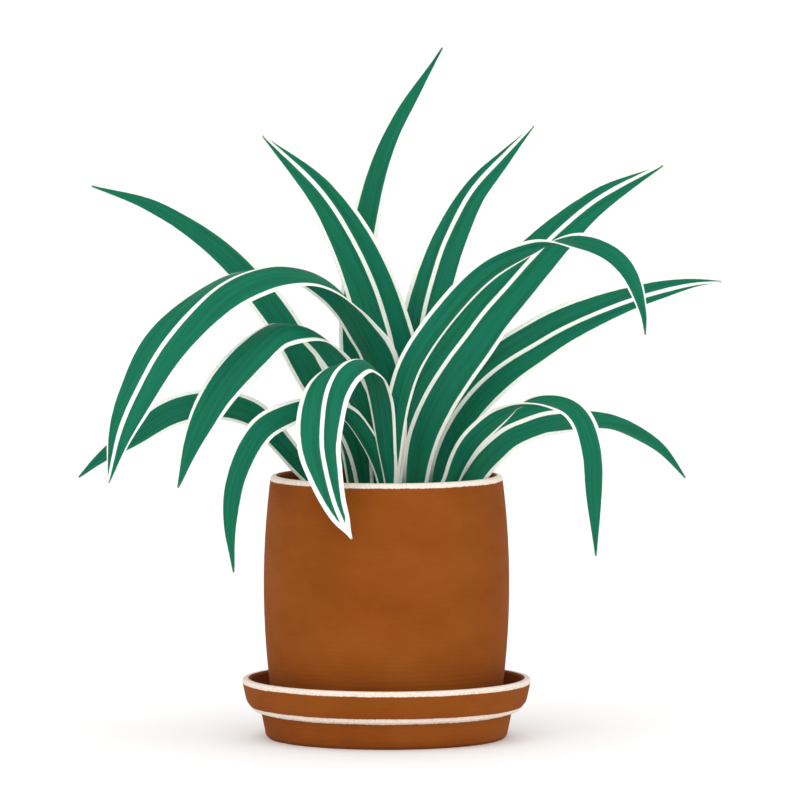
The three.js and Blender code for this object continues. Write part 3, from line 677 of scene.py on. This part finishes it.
def strew(name, bits, settings, material, seed):
    """Small crumbs as one piece: one is modelled, and each copy is roughened, sized, turned and set down."""
    deselect()
    bpy.ops.mesh.primitive_cube_add(size=2)
    crumb = named(name + "_seed")
    bpy.ops.object.mode_set(mode="EDIT")
    bpy.ops.mesh.subdivide(number_cuts=1, smoothness=0.9)
    bpy.ops.object.mode_set(mode="OBJECT")
    rng = random.Random(seed)
    copies = []
    for spot, size, turns, flat in bits:
        copy = bpy.data.objects.new(name, crumb.data.copy())
        bpy.context.collection.objects.link(copy)
        for vertex in copy.data.vertices:
            vertex.co = vertex.co.normalized() * rng.uniform(0.72, 1.12)
        copy.scale = (size * MM, size * MM * rng.uniform(0.7, 1), size * MM * flat)
        copy.rotation_euler = turns
        height = soil_height(spot.x, spot.y, settings.relief / MM)
        copy.location = (spot.x * MM, spot.y * MM, (height + size * 0.25) * MM)
        copies.append(copy)
    bpy.data.objects.remove(crumb)
    deselect()
    for copy in copies:
        copy.select_set(True)
    bpy.context.view_layer.objects.active = copies[0]
    bpy.ops.object.join()
    bpy.ops.object.transform_apply(location=True, rotation=True, scale=True)
    piece = named(name)
    piece.data.materials.append(material)
    smooth(piece, 60)
    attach(piece, "root")


class MakeSoil(bpy.types.Operator):
    """Fill the pot with potting mix, with loose crumbs and grit on top"""

    bl_idname = "spider_plant.make_soil"
    bl_label = "Soil"

    def execute(self, context):
        settings = context.scene.spider_soil
        bottom = POT_BASE + POT_FLOOR + 0.4
        bottom_radius = 57.5
        sides = [(pot_radius(h) - SOIL_INSET, POT_BASE + h) for h in (12, 40, 75, 100, 108)]
        edge = pot_radius(114) - SOIL_INSET
        top = [(edge * k / SOIL_RINGS, SOIL_TOP) for k in range(SOIL_RINGS, -1, -1)]
        piece = spin_outline("soil_mix", [(0, bottom), (bottom_radius, bottom), *sides, *top], SOIL_SIDES)
        for vertex in piece.data.vertices:
            x, y, z = (c / MM for c in vertex.co)
            if z > SOIL_TOP - 0.5:
                vertex.co.z = soil_height(x, y, settings.relief / MM) * MM
        material = soil_finish(settings)
        piece.data.materials.append(material)
        smooth(piece, 60)
        stands_for(piece, "soil")
        rng = random.Random(11)
        crumbs = scatter(rng, settings.crumbs, 0.7, 3.0, 0.75)
        strew("soil_crumbs", crumbs, settings, material, 5)
        grit = scatter(rng, settings.grit_bits, 0.6, 1.5, 0.85)
        strew("soil_grit", grit, settings, grit_finish(settings), 6)
        return {"FINISHED"}


def spline(points):
    """The smooth curve through points, as a function of a place from 0 to 1: centripetal Catmull-Rom."""
    ends = [points[0] * 2 - points[1], *points, points[-1] * 2 - points[-2]]

    def at(place):
        spot = place * (len(points) - 1)
        index = min(int(spot), len(points) - 2)
        t = spot - index
        p0, p1, p2, p3 = ends[index:index + 4]
        d0, d1, d2 = (max((b - a).length ** 0.5, 1e-4) for a, b in ((p0, p1), (p1, p2), (p2, p3)))
        m1 = ((p1 - p0) / d0 - (p2 - p0) / (d0 + d1) + (p2 - p1) / d1) * d1
        m2 = ((p2 - p1) / d1 - (p3 - p1) / (d1 + d2) + (p3 - p2) / d2) * d1
        c2 = (p2 - p1) * 3 - m1 * 2 - m2
        c3 = (p1 - p2) * 2 + m1 + m2
        return p1 + m1 * t + c2 * t * t + c3 * t * t * t

    return at


def smooth_value(values, place):
    """The value at a place from 0 to 1 along a list of numbers, joined by a smooth curve."""
    spot = place * (len(values) - 1)
    index = min(int(spot), len(values) - 2)
    s = spot - index
    a, b, c, d = (values[max(0, min(i, len(values) - 1))] for i in range(index - 1, index + 3))
    return b + 0.5 * s * (c - a + s * (2 * a - 5 * b + 4 * c - d + s * (3 * (b - c) + d - a)))


def smoothstep(x, low, high):
    """0 below low, 1 above high, and a smooth rise between them."""
    t = max(0, min(1, (x - low) / (high - low)))
    return t * t * (3 - 2 * t)


def blade_width(leaf, along, length):
    """A blade's full width, along millimetres from its foot."""
    full = leaf["width"] * (leaf["foot"] + (1 - leaf["foot"]) * smoothstep(along - BURIED, 0, SWELL))
    to_tip = max(0, min(1, (length - along) / leaf["taper"]))
    fullness = leaf.get("fullness", TIP_FULLNESS)
    return TIP_WIDTH + (full - TIP_WIDTH) * math.sin(math.pi / 2 * to_tip) ** fullness


def blade_thickness(along, length):
    """A blade's thickness, along millimetres from its foot."""
    body = THICKEST + (MIDDLE_THICKNESS - THICKEST) * smoothstep(along, BURIED, SWELL)
    return TIP_THICKNESS + (body - TIP_THICKNESS) * smoothstep(length - along, 0, SWELL)


def edge_share(along, to_tip):
    """How much of its overhang a pale edge has: none at the foot, and less and less towards the tip."""
    return smoothstep(along, *EDGE_BEGINS) * smoothstep(to_tip, *EDGE_ENDS)


def rounded_v(side):
    """The form of a gutter across a blade, whose side goes from -1 to 1: about 0 in the mean."""
    return math.sqrt(side * side + 0.02) - 0.45


def blade_frames(leaf, step):
    """The rows along a blade, evenly spaced: the midrib's point, the upper face's normal, the way across, the
    millimetres from the foot, and the place on the path from 0 to 1. Then the blade's whole length."""
    curve = spline([Vector(point[:3]) for point in leaf["path"]])
    turns = [point[3] for point in leaf["path"]]
    seen = Vector(leaf.get("seen", (0, 1, 0))).normalized()
    heading = 1 if (curve(1) - curve(0)).dot(seen.cross(Vector((0, 0, 1)))) > 0 else -1
    pieces = 600
    marks = [0.0]
    for k in range(pieces):
        marks.append(marks[-1] + (curve((k + 1) / pieces) - curve(k / pieces)).length)
    length = marks[-1]
    count = round(length / step)
    nudge = 1e-4
    rows = []
    k = 0
    for i in range(count + 1):
        along = length * i / count
        while k < pieces - 1 and marks[k + 1] < along:
            k += 1
        place = min(1.0, (k + (along - marks[k]) / (marks[k + 1] - marks[k])) / pieces)
        ahead = (curve(min(1, place + nudge)) - curve(max(0, place - nudge))).normalized()
        turn = math.radians(smooth_value(turns, place))
        up = ahead.cross(seen).normalized() * heading
        to_viewer = (ahead * seen.dot(ahead) - seen).normalized()
        normal = to_viewer * math.cos(turn) + up * math.sin(turn)
        rows.append((curve(place), normal, ahead.cross(normal), along, place))
    return rows, length


def make_leaf(leaf, settings, materials):
    """One blade: a flat grid, bent along its path into a channelled strip, then given its thickness."""
    rows, length = blade_frames(leaf, settings.step / MM)
    hollow = leaf.get("hollow", [GUTTER, GUTTER])
    drift = leaf.get("stripe", [0, 0])
    widths = leaf.get("pale", [1, 1])
    blunt = leaf.get("blunt", 1)
    deselect()
    bpy.ops.mesh.primitive_grid_add(x_subdivisions=COLUMNS, y_subdivisions=len(rows) - 1, size=1)
    piece = named(leaf["name"] + "_blade")
    mesh = piece.data
    thick = piece.vertex_groups.new(name="thickness")
    spots = {}
    # A steady number from the name, so that each blade's edges wave in their own way.
    phase = sum(map(ord, leaf["name"])) % 97
    for vertex in mesh.vertices:
        side = vertex.co.x * 2
        row = round((vertex.co.y + 0.5) * (len(rows) - 1))
        centre, normal, across, along, place = rows[row]
        pale = smooth_value(widths, place)
        to_tip = (length - along) * blunt
        overhang = pale * settings.overhang / MM * edge_share(along, to_tip)
        green_share = smoothstep(length - along, *ALL_PALE) if blunt > 1 else 1
        half = blade_width(leaf, along, length) / 2 + overhang
        depth = smooth_value(hollow, place) * half * rounded_v(side)
        swing = math.sin(along / WAVE_LENGTH + phase + (2 if side > 0 else 0))
        wave = WAVE_HEIGHT * side * abs(side) * swing * min(1, half / 6)
        lift = depth + wave * smoothstep(along, *WAVES_BEGIN)
        vertex.co = (centre + across * side * half + normal * lift) * MM
        # A blade is half as thick at its edges as on its midrib.
        slim = 1 - 0.5 * abs(side) ** 1.6
        thick.add([vertex.index], blade_thickness(along, length) * slim / THICKEST, "REPLACE")
        off_stripe = side * half - smooth_value(drift, place)
        spots[vertex.index] = (off_stripe, along, half * (1 - abs(side)) * green_share / pale, to_tip)
    blade = mesh.uv_layers[0]
    blade.name = "blade"
    edge = mesh.uv_layers.new(name="edge")
    for loop in mesh.loops:
        across, along, to_edge, to_tip = spots[loop.vertex_index]
        blade.data[loop.index].uv = ((across + UV_MIDDLE) / UV_SCALE, along / UV_SCALE)
        edge.data[loop.index].uv = (to_edge / UV_SCALE, to_tip / UV_SCALE)
    for material in materials:
        mesh.materials.append(material)
    modifier(piece, "SOLIDIFY", thickness=THICKEST * MM, offset=0, vertex_group="thickness",
             material_offset=1, material_offset_rim=1)
    modifier(piece, "SUBSURF", levels=1, render_levels=1, uv_smooth="NONE")
    pick(piece)
    bpy.ops.object.shade_smooth()
    stands_for(piece, leaf["name"])


class MakeLeaves(bpy.types.Operator):
    """Grow the leaves along their paths"""

    bl_idname = "spider_plant.make_leaves"
    bl_label = "Leaves"

    def execute(self, context):
        settings = context.scene.spider_leaves
        striped = leaf_finish("leaf upper face, striped", settings, True, True)
        plain = leaf_finish("leaf upper face, plain", settings, True, False)
        under = leaf_finish("leaf underside", settings, False, False)
        for leaf in LEAVES:
            make_leaf(leaf, settings, [striped if leaf.get("stripe") else plain, under])
        return {"FINISHED"}


class SetStage(bpy.types.Operator):
    """Lay the floor and set the lights and the camera"""

    bl_idname = "spider_plant.set_stage"
    bl_label = "Stage"

    def execute(self, context):
        settings = context.scene.spider_stage
        deselect()
        bpy.ops.mesh.primitive_plane_add(size=60, location=(0, 20, 0))
        floor = named("floor")
        bpy.ops.object.transform_apply(location=True)
        finish = Finish("pale floor")
        floor.data.materials.append(finish.done(Base_Color=shade(settings.floor), Roughness=0.8,
                                                Specular_IOR_Level=0.1))
        world = bpy.data.worlds.new("studio")
        world.use_nodes = True
        backdrop = world.node_tree.nodes["Background"]
        backdrop.inputs["Color"].default_value = (1, 1, 1, 1)
        backdrop.inputs["Strength"].default_value = 1.02
        context.scene.world = world
        aim = Vector((0.007, 0, 0.18))
        for name, place, size, power in (
            ("key", (-1.3, -1.9, 1.9), 1.6, settings.key),
            ("front", (0.3, -2.4, 0.7), 1.6, settings.front),
            ("fill", (1.9, -1.5, 0.9), 1.6, settings.fill),
            ("back", (0.6, 1.8, 1.6), 1.4, settings.fill * 0.8),
        ):
            bpy.ops.object.light_add(type="AREA", location=place)
            light = named(name)
            light.data.size = size
            light.data.energy = power
            light.rotation_euler = (aim - light.location).to_track_quat("-Z", "Y").to_euler()
        look = Vector((7.16, 0, 179.4)) * MM
        tilt = settings.elevation
        ahead = Vector((0, math.cos(tilt), -math.sin(tilt)))
        bpy.ops.object.camera_add(location=look - ahead * settings.distance,
                                  rotation=(math.pi / 2 - tilt, 0, 0))
        camera = named("camera")
        camera.data.sensor_width = 36
        camera.data.lens = settings.lens
        camera.data.clip_end = 100
        context.scene.camera = camera
        context.scene.view_settings.view_transform = "Standard"
        return {"FINISHED"}


class SpiderPlantPanel(bpy.types.Panel):
    """The steps and settings of the spider plant"""

    bl_label = "Spider plant"
    bl_idname = "VIEW3D_PT_spider_plant"
    bl_space_type = "VIEW_3D"
    bl_region_type = "UI"
    bl_category = "Spider plant"

    def draw(self, context):
        for step in STEPS:
            self.layout.operator(step.bl_idname)
        for name in SETTINGS:
            group = getattr(context.scene, name)
            box = self.layout.box()
            box.label(text=name.replace("_", " ").capitalize())
            for key in group.__annotations__:
                box.prop(group, key)


SETTINGS = {"spider_clay": ClaySettings, "spider_soil": SoilSettings, "spider_leaves": LeafSettings,
            "spider_stage": StageSettings}
STEPS = [MakeSaucer, MakePot, MakeSoil, MakeLeaves, SetStage]


def register():
    for group in (*SETTINGS.values(), *STEPS, SpiderPlantPanel):
        bpy.utils.register_class(group)
    for name, group in SETTINGS.items():
        setattr(bpy.types.Scene, name, bpy.props.PointerProperty(type=group))


def unregister():
    for name in SETTINGS:
        delattr(bpy.types.Scene, name)
    for group in (SpiderPlantPanel, *reversed(STEPS), *reversed(SETTINGS.values())):
        bpy.utils.unregister_class(group)


def main():
    register()
    deselect()
    bpy.ops.spider_plant.make_saucer()
    bpy.ops.spider_plant.make_pot()
    bpy.ops.spider_plant.make_soil()
    bpy.ops.spider_plant.make_leaves()
    bpy.ops.spider_plant.set_stage()
    deselect()
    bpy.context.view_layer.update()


if __name__ == "__main__":
    main()
